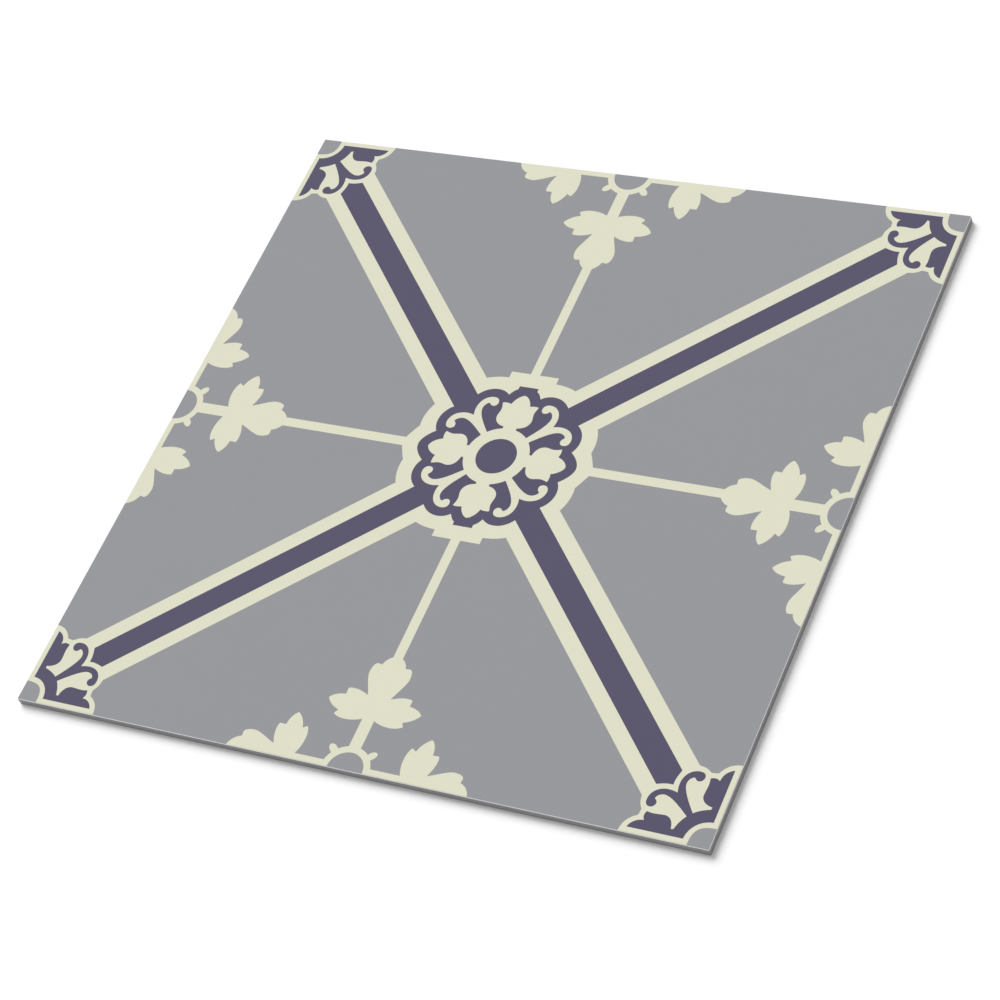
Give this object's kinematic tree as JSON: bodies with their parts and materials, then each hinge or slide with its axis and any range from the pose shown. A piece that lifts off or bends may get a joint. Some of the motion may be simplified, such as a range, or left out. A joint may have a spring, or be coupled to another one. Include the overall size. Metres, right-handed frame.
{
  "type": "pvc wall panel",
  "caption": "Flat square rigid PVC wall panel with a printed rosette, diagonal bands and leaf ornament in traditional tile style.",
  "frame": {"origin": "centre of the back face, which lies on the floor", "axes": "+Z out of the printed face; +X and +Y along the sides, +Y towards the side that is furthest up the picture"},
  "size_m": [0.3, 0.3, 0.0035],
  "materials": {
    "pvc_board": "sawn grey rigid PVC, plain back and cut sides",
    "pvc_edge": "clean pale PVC on the eased edge round the face",
    "print_grey": "satin printed face, cool grey ground",
    "print_cream": "satin printed face, cream lines, leaves and ring",
    "print_plum": "satin printed face, dark plum grey bands and grounds"
  },
  "bodies": {
    "root": {"panel": "pvc_board"}
  },
  "joints": []
}
